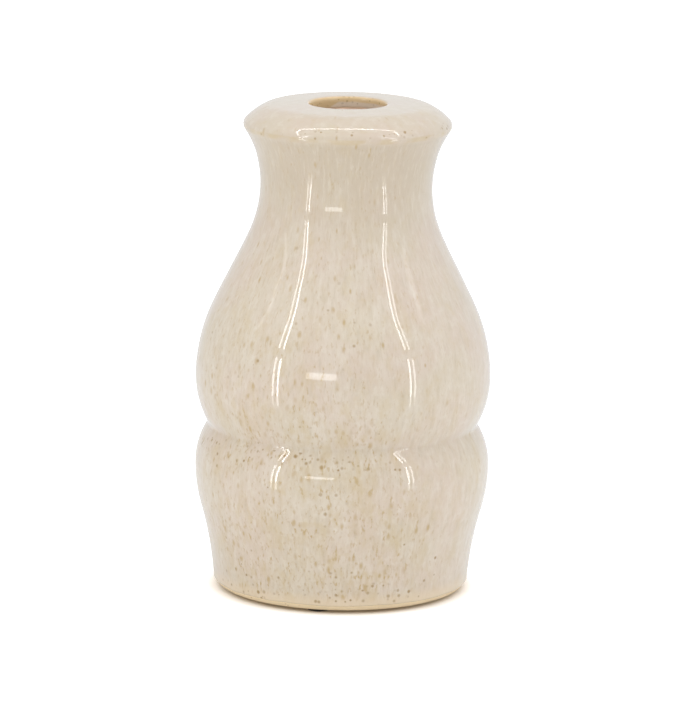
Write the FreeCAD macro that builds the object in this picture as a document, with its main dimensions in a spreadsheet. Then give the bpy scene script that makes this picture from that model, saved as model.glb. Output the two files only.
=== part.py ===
import FreeCAD, Part
import math
import os

import Sketcher

# A glazed stoneware bottle vase, standing on three felt discs.
# Millimetres, +Z up. The origin is on the axis, on the surface that the discs stand on.

os.makedirs("parts", exist_ok=True)
document = FreeCAD.newDocument("BottleVase")

# Driving dimensions. The vase's own heights are above its foot, which is pad_thickness up.
# Radii of the wall are those of the glazed outside.

SIZES = (
    ("vase_height", 179.0, "foot to the highest ring of the crown"),
    ("foot_flat_radius", 43.3, "outer edge of the flat ring that the clay stands on"),
    ("foot_edge_radius", 3.0, "rounding between that ring and the wall"),
    ("foot_ring_width", 9.0, "flat width of the ring"),
    ("ring_inner_radius", 1.2, "rounding on the inner side of the ring"),
    ("well_depth", 3.5, "depth of the recess inside the ring"),
    ("well_corner_radius", 1.0, "cove round the recess's ceiling"),
    ("foot_sweep_radius", 138.0, "hollow sweep from the foot to the cup"),
    ("cup_radius", 53.9, "widest ring below the groove"),
    ("cup_height", 45.2, "height of that ring"),
    ("cup_lower_radius", 56.0, "round of the cup below its widest ring"),
    ("cup_upper_radius", 27.0, "round of the cup above it"),
    ("groove_radius", 1.3, "bottom of the groove round the waist"),
    ("belly_radius", 54.0, "widest ring above the groove"),
    ("belly_height", 78.4, "height of that ring"),
    ("belly_lower_radius", 36.0, "round of the belly below its widest ring"),
    ("belly_sweep_share", 0.51, "round of the shoulder, as a share of the room it has"),
    ("neck_sweep_share", 0.365, "round into the neck, as a share of the same room"),
    ("neck_radius", 31.3, "narrowest ring of the neck"),
    ("neck_drop", 30.3, "that ring, below the crown"),
    ("rim_overhang", 6.8, "how far the rim stands out past the neck"),
    ("rim_drop", 7.9, "widest ring of the rim, below the crown"),
    ("rim_edge_radius", 2.7, "round edge of the rim"),
    ("bevel_run", 8.7, "from the rim's edge round to the crown's round, inwards"),
    ("crown_radius", 9.9, "round between the bevel and the flat of the crown"),
    ("crown_fall", 0.45, "top of that round, below the crown's highest ring"),
    ("mouth_radius", 13.7, "straight wall of the mouth"),
    ("mouth_edge_radius", 1.5, "round edge of the mouth"),
    ("crown_thickness", 5.0, "clay at the mouth"),
    ("lip_radius", 1.0, "round of the clay at the mouth's lower end"),
    ("hollow_radius", 5.0, "round of the clay inside the rim"),
    ("clay_thickness", 4.0, "clay of the wall"),
    ("floor_height", 8.0, "clay floor inside, above the foot"),
    ("corner_radius", 9.0, "cove of the clay round that floor"),
    ("glaze_thickness", 0.5, "every coat of glaze"),
    ("bare_band_height", 2.2, "bare clay at the foot, below the outer glaze"),
    ("well_glaze_margin", 1.0, "bare clay between the recess's cove and its patch of glaze"),
    ("pad_diameter", 8.0, "felt disc"),
    ("pad_thickness", 1.0, "felt disc"),
    ("pad_margin", 0.4, "from the flat ring's outer edge to the disc"),
    ("pad_front_angle", 258.5, "degrees about +Z from +X to the front disc"),
)

sheet = document.addObject("Spreadsheet::Sheet", "Size")
for row, (alias, amount, meaning) in enumerate(SIZES, start=1):
    sheet.set(f"A{row}", alias)
    sheet.set(f"B{row}", str(amount))
    sheet.set(f"C{row}", meaning)
    sheet.setAlias(f"B{row}", alias)
document.recompute()


def number(expression):
    """What an expression on the sheet comes to."""
    return float(sheet.evalExpression(expression))


# Places that several outlines share, as expressions on the sheet

NECK_HEIGHT = "(Size.vase_height - Size.neck_drop)"
NECK_INSET = "(Size.belly_radius - Size.neck_radius)"
SHOULDER_RISE = f"({NECK_HEIGHT} - Size.belly_height)"
SHOULDER_ROOM = f"(({NECK_INSET}^2 + {SHOULDER_RISE}^2) / (2 * {NECK_INSET}))"
FLARE_RISE = "(Size.neck_drop - Size.rim_drop)"
FLARE_RADIUS = (
    "(Size.rim_overhang / 2 - Size.rim_edge_radius"
    f" + {FLARE_RISE}^2 / (2 * Size.rim_overhang))"
)
RIM_CENTRE = "(Size.neck_radius + Size.rim_overhang - Size.rim_edge_radius)"
CROWN_UNDERSIDE = "(Size.vase_height - Size.glaze_thickness - Size.crown_thickness)"
LIP_HEIGHT = f"({CROWN_UNDERSIDE} + Size.lip_radius)"
RING_INNER_EDGE = "(Size.foot_flat_radius - Size.foot_ring_width)"
WELL_RADIUS = f"({RING_INNER_EDGE} - Size.ring_inner_radius)"
SWEEP_TO_FOOT = "(Size.foot_sweep_radius + Size.glaze_thickness + Size.foot_edge_radius)"

# How deep a surface lies below the glazed outside of the wall

GLAZED_OUTSIDE = "0"
CLAY_OUTSIDE = "Size.glaze_thickness"
CLAY_INSIDE = "(Size.glaze_thickness + Size.clay_thickness)"
GLAZED_INSIDE = "(2 * Size.glaze_thickness + Size.clay_thickness)"

# The round stretches. A swell curves about the axis side of the wall, a hollow about the other.
# Each has its radius, the depth at which it has that radius, and its centre's radius from the
# axis and height. A centre that is left out is where the stretch touches its neighbours.

SWELL = 1
HOLLOW = -1

ROUNDS = {
    "well_corner": (
        HOLLOW, "Size.well_corner_radius", CLAY_OUTSIDE,
        f"{WELL_RADIUS} - Size.well_corner_radius", "Size.well_depth - Size.well_corner_radius",
    ),
    "ring_inner": (
        SWELL, "Size.ring_inner_radius", CLAY_OUTSIDE, RING_INNER_EDGE, "Size.ring_inner_radius",
    ),
    "foot_edge": (
        SWELL, "Size.foot_edge_radius", CLAY_OUTSIDE, "Size.foot_flat_radius", "Size.foot_edge_radius",
    ),
    "sweep": (HOLLOW, "Size.foot_sweep_radius", GLAZED_OUTSIDE, None, None),
    "cup_lower": (
        SWELL, "Size.cup_lower_radius", GLAZED_OUTSIDE,
        "Size.cup_radius - Size.cup_lower_radius", "Size.cup_height",
    ),
    "cup_upper": (SWELL, "Size.cup_upper_radius", GLAZED_OUTSIDE, None, "Size.cup_height"),
    "groove": (HOLLOW, "Size.groove_radius", GLAZED_OUTSIDE, None, None),
    "belly_lower": (
        SWELL, "Size.belly_lower_radius", GLAZED_OUTSIDE,
        "Size.belly_radius - Size.belly_lower_radius", "Size.belly_height",
    ),
    "belly_upper": (
        SWELL, f"Size.belly_sweep_share * {SHOULDER_ROOM}", GLAZED_OUTSIDE, None, "Size.belly_height",
    ),
    "neck_lower": (
        HOLLOW, f"Size.neck_sweep_share * {SHOULDER_ROOM}", GLAZED_OUTSIDE,
        f"Size.neck_radius + Size.neck_sweep_share * {SHOULDER_ROOM}", NECK_HEIGHT,
    ),
    "flare": (HOLLOW, FLARE_RADIUS, GLAZED_OUTSIDE, None, NECK_HEIGHT),
    "rim": (
        SWELL, "Size.rim_edge_radius", GLAZED_OUTSIDE, None, "Size.vase_height - Size.rim_drop",
    ),
    "crown": (
        SWELL, "Size.crown_radius", GLAZED_OUTSIDE, f"{RIM_CENTRE} - Size.bevel_run",
        "Size.vase_height - Size.crown_fall - Size.crown_radius",
    ),
    "mouth": (
        SWELL, "Size.mouth_edge_radius", GLAZED_OUTSIDE,
        "Size.mouth_radius + Size.mouth_edge_radius", "Size.vase_height - Size.mouth_edge_radius",
    ),
    "corner": (
        SWELL, "Size.corner_radius", CLAY_INSIDE, None, "Size.floor_height + Size.corner_radius",
    ),
    "hollow": (
        SWELL, "Size.hollow_radius", CLAY_INSIDE, None, f"{CROWN_UNDERSIDE} - Size.hollow_radius",
    ),
    "lip": (
        HOLLOW, "Size.lip_radius", CLAY_INSIDE,
        "Size.mouth_radius + Size.glaze_thickness + Size.lip_radius", LIP_HEIGHT,
    ),
}

# What an outline runs through, going up. A name that isn't in ROUNDS is a straight stretch.

UNDERSIDE = ["well_corner", "well_wall", "ring_inner", "ring", "foot_edge"]
WALL = [
    "sweep", "cup_lower", "cup_upper", "groove",
    "belly_lower", "belly_upper", "shoulder", "neck_lower", "flare",
]
OUTER_TOP = ["rim", "bevel", "crown", "flat", "mouth"]
INNER_TOP = ["hollow", "ceiling", "lip"]


def radius_at(name, depth):
    """Expression for the radius of a round stretch on the surface at this depth."""
    bulge, radius, own_depth, _, _ = ROUNDS[name]
    sign = "-" if bulge == SWELL else "+"
    return f"{radius} {sign} ({depth} - {own_depth})"


def right_hand_meeting(first, first_radius, second, second_radius):
    """The meeting point of two circles that lies to the right of the way from first to second."""
    across = second[0] - first[0]
    up = second[1] - first[1]
    span = math.hypot(across, up)
    along = (first_radius ** 2 - second_radius ** 2 + span ** 2) / (2 * span)
    aside = math.sqrt(first_radius ** 2 - along ** 2)
    return (
        first[0] + (along * across + aside * up) / span,
        first[1] + (along * up - aside * across) / span,
    )


def find_centres():
    """Every round stretch's centre in the half section, as numbers."""
    centres = {}
    for name, (_, _, _, radius_out, height) in ROUNDS.items():
        if radius_out and height:
            centres[name] = (number(radius_out), number(height))
    for name, widest in (("cup_upper", "Size.cup_radius"), ("belly_upper", "Size.belly_radius")):
        centres[name] = (number(widest) - number(ROUNDS[name][1]), number(ROUNDS[name][4]))
    flare_radius = number(FLARE_RADIUS)
    centres["flare"] = (number("Size.neck_radius") + flare_radius, number(NECK_HEIGHT))
    centres["rim"] = (number(RIM_CENTRE), number(ROUNDS["rim"][4]))
    groove = number("Size.groove_radius")
    centres["groove"] = right_hand_meeting(
        centres["cup_upper"], number("Size.cup_upper_radius") + groove,
        centres["belly_lower"], number("Size.belly_lower_radius") + groove,
    )
    centres["sweep"] = right_hand_meeting(
        centres["foot_edge"], number(SWEEP_TO_FOOT),
        centres["cup_lower"], number("Size.foot_sweep_radius + Size.cup_lower_radius"),
    )
    for name, neighbour in (("corner", "sweep"), ("hollow", "flare")):
        height = number(ROUNDS[name][4])
        reach = number(radius_at(name, CLAY_INSIDE)) + number(radius_at(neighbour, CLAY_INSIDE))
        rise = height - centres[neighbour][1]
        centres[name] = (centres[neighbour][0] - math.sqrt(reach ** 2 - rise ** 2), height)
    return centres


CENTRES = find_centres()


def signed_radius(name, depth):
    """The radius at this depth, negative on a hollow."""
    return ROUNDS[name][0] * number(radius_at(name, depth))


def touching_point(name, after, depth):
    """Where two round stretches touch."""
    first = signed_radius(name, depth)
    second = signed_radius(after, depth)
    return tuple(
        (b * first - a * second) / (first - second)
        for a, b in zip(CENTRES[name], CENTRES[after])
    )


def straight_between(name, after, depth):
    """Both ends of the straight stretch that touches two round ones."""
    first = signed_radius(name, depth)
    second = signed_radius(after, depth)
    across = CENTRES[after][0] - CENTRES[name][0]
    up = CENTRES[after][1] - CENTRES[name][1]
    facing = math.atan2(up, across) - math.acos((first - second) / math.hypot(across, up))
    return [
        (centre[0] + radius * math.cos(facing), centre[1] + radius * math.sin(facing))
        for centre, radius in ((CENTRES[name], first), (CENTRES[after], second))
    ]


class Stretch:
    """One line or arc of a sketch, with the numbers of its first and last point going up."""

    CENTRE = 3

    def __init__(self, index, first, last):
        self.index = index
        self.first = (index, first)
        self.last = (index, last)
        self.centre = (index, self.CENTRE)


class Outline:
    """A closed half section on a body's XZ plane, held by constraints on the sheet's sizes."""

    ORIGIN = (-1, 1)

    def __init__(self, body, name):
        self.sketch = body.newObject("Sketcher::SketchObject", name)
        planes = [plane for plane in body.Origin.OriginFeatures if plane.Role == "XZ_Plane"]
        self.sketch.AttachmentSupport = (planes[0], [""])
        self.sketch.MapMode = "FlatFace"
        self.constraints = []
        self.bindings = []

    def line(self, start, end):
        shape = Part.LineSegment(FreeCAD.Vector(*start), FreeCAD.Vector(*end))
        return Stretch(self.sketch.addGeometry(shape, False), 1, 2)

    def arc(self, centre, radius, start, end, bulge):
        ends = (start, end) if bulge == SWELL else (end, start)
        from_angle, to_angle = (math.atan2(y - centre[1], x - centre[0]) for x, y in ends)
        if to_angle < from_angle:
            to_angle += math.tau
        circle = Part.Circle(FreeCAD.Vector(*centre), FreeCAD.Vector(0, 0, 1), radius)
        index = self.sketch.addGeometry(Part.ArcOfCircle(circle, from_angle, to_angle), False)
        return Stretch(index, 1, 2) if bulge == SWELL else Stretch(index, 2, 1)

    def mark(self, across, height):
        """A construction point at this place."""
        place = FreeCAD.Vector(number(across), number(height))
        index = self.sketch.addGeometry(Part.Point(place), True)
        self.place((index, 1), across, height)
        return (index, 1)

    def hold(self, kind, *points, size=None):
        """A constraint on points, each a pair of numbers, or on whole stretches."""
        where = [part for point in points for part in (point if isinstance(point, tuple) else (point,))]
        if size is None:
            self.constraints.append(Sketcher.Constraint(kind, *where))
            return
        self.bindings.append((len(self.constraints), size))
        self.constraints.append(Sketcher.Constraint(kind, *where, number(size)))

    def place(self, point, across=None, height=None):
        """Hold a point at its distance from the axis and its height, or at one of them."""
        if across is not None:
            self.hold("DistanceX", self.ORIGIN, point, size=across)
        if height is not None:
            self.hold("DistanceY", self.ORIGIN, point, size=height)

    def close(self):
        """Give the sketch its constraints and bind their sizes to the sheet."""
        self.sketch.addConstraint(self.constraints)
        for index, size in self.bindings:
            self.sketch.setExpression(f"Constraints[{index}]", size)
        return self.sketch


def draw_surface(outline, depth, names, first_point=None, last_point=None):
    """One surface of the wall, going up, at this depth. Returns its stretches by name."""
    joints = {}
    for name, after in zip(names, names[1:]):
        if name in ROUNDS and after in ROUNDS:
            joints[name, after] = touching_point(name, after, depth)
    for before, name, after in zip(names, names[1:], names[2:]):
        if name not in ROUNDS:
            joints[before, name], joints[name, after] = straight_between(before, after, depth)
    stretches = {}
    for place, name in enumerate(names):
        start = joints[names[place - 1], name] if place else first_point
        end = joints[name, names[place + 1]] if name != names[-1] else last_point
        if name not in ROUNDS:
            stretches[name] = outline.line(start, end)
            continue
        bulge, _, _, across, height = ROUNDS[name]
        radius = radius_at(name, depth)
        arc = outline.arc(CENTRES[name], number(radius), start, end, bulge)
        outline.hold("Radius", arc.index, size=radius)
        outline.place(arc.centre, across, height)
        stretches[name] = arc
    for name, after in zip(names, names[1:]):
        outline.hold("Tangent", stretches[name].last, stretches[after].first)
    return stretches


def hold_sweep(outline, foot_mark, sweep):
    """Keep the sweep above the foot at its distance from the foot's round edge."""
    outline.hold("Distance", sweep.centre, foot_mark, size=SWEEP_TO_FOOT)


def draw_inside(outline, depth, foot_mark, last_point):
    """The inside from the axis over the floor and up to the lip of the mouth."""
    rise = number(f"{depth} - {CLAY_INSIDE}")
    floor = number("Size.floor_height") + rise
    corner_start = (CENTRES["corner"][0], floor)
    inside = draw_surface(outline, depth, ["corner"] + WALL + INNER_TOP, corner_start, last_point)
    inside["floor"] = outline.line((0, floor), corner_start)
    outline.hold("Tangent", inside["floor"].last, inside["corner"].first)
    outline.hold("Horizontal", inside["floor"].index)
    outline.place(inside["floor"].first, across="0")
    hold_sweep(outline, foot_mark, inside["sweep"])
    return inside


def join(outline, first, second, first_place, second_place):
    """A straight stretch between two ends."""
    line = outline.line(first_place, second_place)
    outline.hold("Coincident", line.first, first)
    outline.hold("Coincident", line.last, second)


def new_body(name, height):
    """A body whose own origin stands at this height."""
    body = document.addObject("PartDesign::Body", name)
    body.Label = name
    body.setExpression("Placement.Base.z", height)
    return body


def spin(body, outline):
    """Turn a closed outline once round the axis."""
    turned = body.newObject("PartDesign::Revolution", f"{body.Name}_turned")
    turned.Profile = outline.close()
    turned.ReferenceAxis = (turned.Profile[0], ["V_Axis"])
    turned.Angle = 360
    body.Tip = turned
    return body


def make_stoneware_body():
    """The fired clay, from the recess under its foot to the mouth, with the hollow inside."""
    body = new_body("stoneware_body", "Size.pad_thickness")
    outline = Outline(body, "stoneware_outline")
    foot_mark = outline.mark("Size.foot_flat_radius", "Size.foot_edge_radius")
    well = number("Size.well_depth")
    well_end = (CENTRES["well_corner"][0], well)
    lip_end = (number("Size.mouth_radius + Size.glaze_thickness"), number(LIP_HEIGHT))
    mouth_end = (lip_end[0], CENTRES["mouth"][1])
    outside = draw_surface(outline, CLAY_OUTSIDE, UNDERSIDE + WALL + OUTER_TOP, well_end, mouth_end)
    outside["well"] = outline.line((0, well), well_end)
    outline.hold("Tangent", outside["well"].last, outside["well_corner"].first)
    outline.hold("Horizontal", outside["well"].index)
    outline.place(outside["well"].first, across="0")
    inside = draw_inside(outline, CLAY_INSIDE, foot_mark, lip_end)
    mouth_wall = outline.line(mouth_end, lip_end)
    outline.hold("Tangent", outside["mouth"].last, mouth_wall.first)
    outline.hold("Tangent", mouth_wall.last, inside["lip"].last)
    join(outline, outside["well"].first, inside["floor"].first,
         (0, well), (0, number("Size.floor_height")))
    return spin(body, outline)


def make_outer_glaze():
    """The coat outside, from its rolled lower edge above the bare foot to the mouth's lower end."""
    body = new_body("outer_glaze", "Size.pad_thickness")
    outline = Outline(body, "outer_glaze_outline")
    foot_mark = outline.mark("Size.foot_flat_radius", "Size.foot_edge_radius")
    glaze = number("Size.glaze_thickness")
    sweep = CENTRES["sweep"]
    clay_radius = number(radius_at("sweep", CLAY_OUTSIDE))
    band = number("Size.bare_band_height")
    low_angle = math.pi - math.asin((band - sweep[1]) / clay_radius)
    roll_angle = low_angle - 2 * math.asin(glaze / (2 * clay_radius))

    def on_sweep(radius, angle):
        return (sweep[0] + radius * math.cos(angle), sweep[1] + radius * math.sin(angle))

    low_point = on_sweep(clay_radius, low_angle)
    roll_centre = on_sweep(clay_radius, roll_angle)
    roll_top = on_sweep(clay_radius - glaze, roll_angle)
    lip_height = number(LIP_HEIGHT)
    surfaces = []
    for depth, start in ((GLAZED_OUTSIDE, roll_top), (CLAY_OUTSIDE, low_point)):
        mouth_wall = number(f"Size.mouth_radius + {depth}")
        top = (mouth_wall, CENTRES["mouth"][1])
        surface = draw_surface(outline, depth, WALL + OUTER_TOP, start, top)
        surface["mouth_wall"] = outline.line(top, (mouth_wall, lip_height))
        outline.hold("Tangent", surface["mouth"].last, surface["mouth_wall"].first)
        outline.hold("Vertical", surface["mouth_wall"].index)
        outline.place(surface["mouth_wall"].last, height=LIP_HEIGHT)
        hold_sweep(outline, foot_mark, surface["sweep"])
        surfaces.append(surface)
    glazed, clay = surfaces
    roll = outline.arc(roll_centre, glaze, low_point, roll_top, SWELL)
    outline.hold("Radius", roll.index, size="Size.glaze_thickness")
    outline.hold("Tangent", roll.last, glazed["sweep"].first)
    outline.hold("Coincident", roll.first, clay["sweep"].first)
    outline.place(clay["sweep"].first, height="Size.bare_band_height")
    join(outline, glazed["mouth_wall"].last, clay["mouth_wall"].last,
         (number("Size.mouth_radius"), lip_height),
         (number("Size.mouth_radius + Size.glaze_thickness"), lip_height))
    return spin(body, outline)


def make_lining_glaze():
    """The coat inside, from the floor to where the outer coat ends at the mouth."""
    body = new_body("lining_glaze", "Size.pad_thickness")
    outline = Outline(body, "lining_glaze_outline")
    foot_mark = outline.mark("Size.foot_flat_radius", "Size.foot_edge_radius")
    lip_height = number(LIP_HEIGHT)
    surfaces = []
    lip_ends = []
    for depth, mouth_wall in (
        (CLAY_INSIDE, "Size.mouth_radius + Size.glaze_thickness"),
        (GLAZED_INSIDE, "Size.mouth_radius"),
    ):
        lip_ends.append((number(mouth_wall), lip_height))
        surface = draw_inside(outline, depth, foot_mark, lip_ends[-1])
        outline.place(surface["lip"].last, height=LIP_HEIGHT)
        surfaces.append(surface)
    clay, glazed = surfaces
    join(outline, clay["lip"].last, glazed["lip"].last, *lip_ends)
    floor = number("Size.floor_height")
    join(outline, clay["floor"].first, glazed["floor"].first,
         (0, floor), (0, floor + number("Size.glaze_thickness")))
    return spin(body, outline)


def make_foot_well_glaze():
    """The round patch of glaze on the ceiling of the recess, with a rolled edge."""
    body = new_body("foot_well_glaze", "Size.pad_thickness + Size.well_depth - Size.glaze_thickness")
    outline = Outline(body, "foot_well_glaze_outline")
    patch = f"({WELL_RADIUS} - Size.well_corner_radius - Size.well_glaze_margin)"
    glaze = number("Size.glaze_thickness")
    outer = number(patch)
    inner = outer - glaze
    lower = outline.line((0, 0), (inner, 0))
    roll = outline.arc((inner, glaze), glaze, (inner, 0), (outer, glaze), SWELL)
    upper = outline.line((outer, glaze), (0, glaze))
    axis = outline.line((0, glaze), (0, 0))
    outline.hold("Tangent", lower.last, roll.first)
    outline.hold("Coincident", roll.last, upper.first)
    outline.hold("Coincident", upper.last, axis.first)
    outline.hold("Coincident", axis.last, lower.first)
    outline.hold("Horizontal", lower.index)
    outline.hold("Horizontal", upper.index)
    outline.place(lower.first, across="0", height="0")
    outline.place(upper.last, across="0", height="Size.glaze_thickness")
    outline.hold("Radius", roll.index, size="Size.glaze_thickness")
    outline.place(roll.last, across=patch)
    return spin(body, outline)


def make_felt_pads():
    """Three felt discs under the flat ring, evenly round it."""
    names = ("felt_pad_front", "felt_pad_right", "felt_pad_left")
    from_axis = "(Size.foot_flat_radius - Size.pad_margin - Size.pad_diameter / 2)"
    pads = []
    for place, name in enumerate(names):
        angle = f"(Size.pad_front_angle + {place} * 360 / {len(names)})"
        pad = document.addObject("Part::Cylinder", name)
        pad.Label = name
        pad.setExpression("Radius", "Size.pad_diameter / 2")
        pad.setExpression("Height", "Size.pad_thickness")
        pad.setExpression("Placement.Base.x", f"{from_axis} * cos({angle})")
        pad.setExpression("Placement.Base.y", f"{from_axis} * sin({angle})")
        pads.append(pad)
    return pads


pieces = [make_stoneware_body(), make_outer_glaze(), make_lining_glaze(), make_foot_well_glaze()]
pieces += make_felt_pads()
document.recompute()

for item in document.Objects:
    if "Invalid" in item.State or "Error" in item.State:
        raise RuntimeError(f"{item.Label} did not compute: {item.State}")
for piece in pieces:
    if piece.Shape.isNull() or not piece.Shape.isValid():
        raise RuntimeError(f"{piece.Label} has no valid shape")
for piece in pieces:
    piece.Shape.exportStep(os.path.join("parts", f"{piece.Label}.step"))
    print(f"{piece.Label}: {len(piece.Shape.Solids)} solid, {piece.Shape.Volume / 1000:.2f} cm3")
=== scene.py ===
"""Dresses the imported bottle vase: speckled oatmeal glaze over pale clay, on a plain white table."""

import math

import bmesh
import bpy
from bpy.props import FloatProperty, FloatVectorProperty, IntProperty, PointerProperty
from mathutils import Matrix, Vector, noise


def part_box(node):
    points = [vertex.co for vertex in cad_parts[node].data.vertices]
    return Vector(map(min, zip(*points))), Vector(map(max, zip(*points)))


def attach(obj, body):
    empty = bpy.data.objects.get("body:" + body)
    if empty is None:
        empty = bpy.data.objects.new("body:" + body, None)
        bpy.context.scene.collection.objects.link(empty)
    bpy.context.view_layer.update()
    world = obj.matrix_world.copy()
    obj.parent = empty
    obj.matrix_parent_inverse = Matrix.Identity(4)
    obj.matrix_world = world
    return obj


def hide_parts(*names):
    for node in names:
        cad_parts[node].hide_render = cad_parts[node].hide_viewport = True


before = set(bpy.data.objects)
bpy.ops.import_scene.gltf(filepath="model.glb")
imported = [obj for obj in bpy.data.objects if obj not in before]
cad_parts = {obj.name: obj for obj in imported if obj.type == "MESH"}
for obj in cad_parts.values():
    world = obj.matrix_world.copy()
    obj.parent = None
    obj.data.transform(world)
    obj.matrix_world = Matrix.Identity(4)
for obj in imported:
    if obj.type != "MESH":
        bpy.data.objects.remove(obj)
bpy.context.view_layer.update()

bl_info = {
    "name": "Bottle vase",
    "version": (1, 0, 0),
    "blender": (4, 5, 0),
    "location": "View3D > Sidebar > Vase",
    "description": "Builds the glaze, clay, felt pads and table of a bottle vase",
    "category": "Object",
}

MM = 0.001
SAME_SPOT = 0.002 * MM
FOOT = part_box("stoneware_body")[0].z


def paint(red, green, blue):
    """A colour picked on a screen, 0 to 255, as the light that it sends back."""
    shares = (value / 255 for value in (red, green, blue))
    return tuple(s / 12.92 if s <= 0.04045 else ((s + 0.055) / 1.055) ** 2.4 for s in shares)


# Settings that a user would change


def length(name, default, description):
    return FloatProperty(name=name, default=default * MM, description=description, unit="LENGTH",
                         subtype="DISTANCE", precision=5)


def share(name, default, description):
    return FloatProperty(name=name, default=default, description=description, subtype="FACTOR", min=0, max=1)


def colour(name, default, description):
    return FloatVectorProperty(name=name, default=default, description=description, subtype="COLOR",
                               size=3, min=0, max=1)


class VaseShape(bpy.types.PropertyGroup):
    """Sizes of the glazed outside and of what lies under it."""

    height: length("Height", 179.0, "Foot to the highest ring of the crown")
    foot_flat: length("Foot flat", 43.3, "Radius of the flat ring that the clay stands on")
    foot_edge: length("Foot edge", 3.0, "Rounding between the foot's flat and the wall")
    ring_width: length("Foot ring width", 9.0, "Flat width of the foot ring")
    ring_inner: length("Foot ring inside", 1.2, "Rounding on the inner side of the foot ring")
    well_depth: length("Recess depth", 3.5, "Depth of the recess under the foot")
    well_corner: length("Recess cove", 1.0, "Cove round the ceiling of the recess")
    sweep: length("Foot sweep", 138.0, "Hollow sweep from the foot up to the cup")
    cup_radius: length("Cup radius", 53.9, "Widest ring below the groove")
    cup_height: length("Cup height", 45.2, "Height of that ring")
    cup_lower: length("Cup lower round", 56.0, "Round of the cup below its widest ring")
    cup_upper: length("Cup upper round", 27.0, "Round of the cup above its widest ring")
    groove: length("Groove round", 1.3, "Bottom of the groove round the waist")
    belly_radius: length("Belly radius", 54.0, "Widest ring above the groove")
    belly_height: length("Belly height", 78.4, "Height of that ring")
    belly_lower: length("Belly lower round", 36.0, "Round of the belly below its widest ring")
    belly_share: share("Shoulder share", 0.51, "Round of the shoulder, as a share of its room")
    neck_share: share("Neck share", 0.365, "Round into the neck, as a share of the same room")
    neck_radius: length("Neck radius", 31.3, "Narrowest ring of the neck")
    neck_drop: length("Neck drop", 30.3, "That ring, below the crown")
    rim_overhang: length("Rim overhang", 6.8, "How far the rim stands out past the neck")
    rim_drop: length("Rim drop", 7.9, "Widest ring of the rim, below the crown")
    rim_edge: length("Rim edge", 2.7, "Round edge of the rim")
    bevel_run: length("Bevel run", 8.7, "From the rim's round to the crown's round, inwards")
    bevel_swell: length("Bevel swell", 24.0, "Soft round of the glaze over the bevel")
    crown: length("Crown round", 9.9, "Round between the bevel and the flat of the crown")
    crown_fall: length("Crown fall", 0.45, "Top of that round, below the crown's highest ring")
    mouth_radius: length("Mouth radius", 13.7, "Straight wall of the mouth")
    mouth_edge: length("Mouth edge", 1.5, "Round edge of the mouth")
    mouth_thin: length("Thin mouth", 0.3, "How much thinner the glaze is in the mouth than elsewhere")
    crown_clay: length("Crown clay", 5.0, "Clay at the mouth")
    lip: length("Lip round", 1.0, "Round of the clay at the mouth's lower end")
    hollow: length("Hollow under the rim", 5.0, "Round of the clay inside the rim")
    clay: length("Clay", 4.0, "Clay of the wall")
    floor: length("Clay floor", 8.0, "Floor inside, above the foot")
    corner: length("Floor cove", 9.0, "Cove of the clay round the floor")
    glaze: length("Glaze", 0.5, "Every coat of glaze")
    bare_band: length("Bare band", 2.2, "Bare clay at the foot, below the outer glaze")
    well_margin: length("Recess margin", 1.0, "Bare clay between the cove and the patch of glaze")


class VaseHand(bpy.types.PropertyGroup):
    """What the maker's hand and the kiln add to the turned form."""

    crown_shift: length("Crown shift", 0.45, "How far the crown leans to the right")
    oval: length("Oval", 0.12, "How far the wall is out of round")
    ripple: length("Ripple", 0.022, "Height of the glaze's slow waves")
    ripple_size: length("Ripple size", 11.0, "Width of one such wave")
    edge_wander: length("Glaze edge wander", 0.35, "How far the glaze's lower edge rises and falls")
    edge_reach: length("Edge reach", 4.0, "How far up the wall that wander fades out")
    pace: length("Pace", 1.15, "Distance between two rings of the visible surfaces")
    hidden_pace: length("Hidden pace", 4.0, "Distance between two rings of the hidden surfaces")
    soft_from: length("Softened from", 84.0, "Above the foot, where the even run into the neck begins")
    soft_to: length("Softened to", 160.0, "Above the foot, where that even run ends")
    soft_rounds: IntProperty(name="Softening", default=24, min=0, max=100,
                             description="Rounds of smoothing where the belly runs into the neck")
    turns: IntProperty(name="Turns", default=256, min=48, max=320, description="Steps round the outside")
    hidden_turns: IntProperty(name="Inner turns", default=192, min=48, max=320,
                              description="Steps round the pieces that show little")


class VaseColours(bpy.types.PropertyGroup):
    """Colours of the glaze, the clay and the felt."""

    oatmeal: colour("Oatmeal", paint(221, 208, 188), "Ground colour of the glaze")
    cream: colour("Cream", paint(233, 224, 209), "Pale runs in the glaze")
    # Ash runs in the glaze; the same colour is also laid on the neck below the rim as painted shade
    ash_and_shade: colour("Ash", paint(205, 190, 166), "Thin grey-brown runs in the glaze")
    blush: colour("Blush", paint(222, 205, 188), "Pink cast of the thicker glaze")
    straw: colour("Straw", paint(212, 191, 149), "Yellow cast where the glaze is thin")
    # Thin glaze on the mouth's wall: partly its own pale colour over the clay, partly painted light that
    # brightens the inside of the mouth
    thin: colour("Thin glaze", paint(253, 232, 208), "Thin glaze over the clay, on the bend of the mouth")
    lining: colour("Lining", paint(248, 238, 222), "Glaze poured inside")
    flush: colour("Flushed lining", paint(255, 224, 200), "Lining just below the mouth")
    tan: colour("Tan glaze", paint(235, 215, 184), "Glaze that has drawn thin above the foot")
    rust: colour("Rust", paint(238, 205, 150), "Thinnest glaze, on the edge of the mouth")
    fleck: colour("Fleck", paint(192, 160, 100), "Iron flecks that have run a little")
    iron: colour("Iron", paint(166, 132, 76), "Iron dots that have not run")
    clay: colour("Clay", paint(252, 231, 194), "Fired clay, bare")
    clay_grog: colour("Grog", paint(190, 160, 116), "Darker grains in the clay")
    felt: colour("Felt", paint(42, 35, 28), "Felt of the pads")
    felt_fuzz: colour("Fuzz", paint(84, 80, 76), "Loose fibres of the felt")


# The half section: round and straight stretches that touch, at any depth below the glazed outside

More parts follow.
